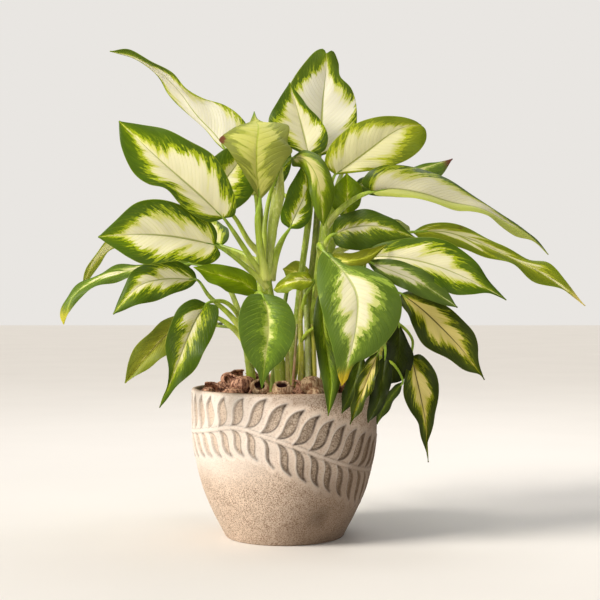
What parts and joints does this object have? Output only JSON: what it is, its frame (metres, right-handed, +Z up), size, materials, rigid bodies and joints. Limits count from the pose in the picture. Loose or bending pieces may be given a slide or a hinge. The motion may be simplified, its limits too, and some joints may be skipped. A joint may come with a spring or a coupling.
{
  "type": "potted dieffenbachia",
  "caption": "Bushy house plant with cream-centred pointed green leaves on several canes, in a round pot with a leaf-frond relief.",
  "frame": {"origin": "centre of the pot's flat foot, on the surface it stands on", "axes": "+Z up along the pot's axis, -Y towards the front of the plant, +X to the front's right"},
  "size_m": [0.6357, 0.3645, 0.5889],
  "materials": {
    "pot": "matte, lightly sanded, browner in the recesses",
    "soil": "damp crumbs",
    "leaf": "soft waxy sheen, green margins with cream centres",
    "husk": "dry bark and seed husk"
  },
  "bodies": {
    "root": {"pot": "pot", "soil": "soil", "shoot_left": "leaf", "shoot_centre": "leaf", "shoot_middle": "leaf", "shoot_right_front": "leaf", "shoot_right": "leaf", "shoot_back_right": "leaf", "shoot_back_left": "leaf", "pod_01": "husk", "pod_02": "husk", "pod_03": "husk", "pod_04": "husk", "pod_05": "husk", "pod_06": "husk", "pod_07": "husk", "pod_08": "husk", "pod_09": "husk", "pod_10": "husk", "pod_11": "husk", "pod_12": "husk", "pod_13": "husk", "pod_14": "husk", "pod_15": "husk", "pod_16": "husk", "pod_17": "husk", "pod_18": "husk", "pod_19": "husk", "pod_20": "husk", "pod_21": "husk", "pod_22": "husk", "pod_23": "husk", "pod_24": "husk", "pod_25": "husk"}
  },
  "joints": []
}
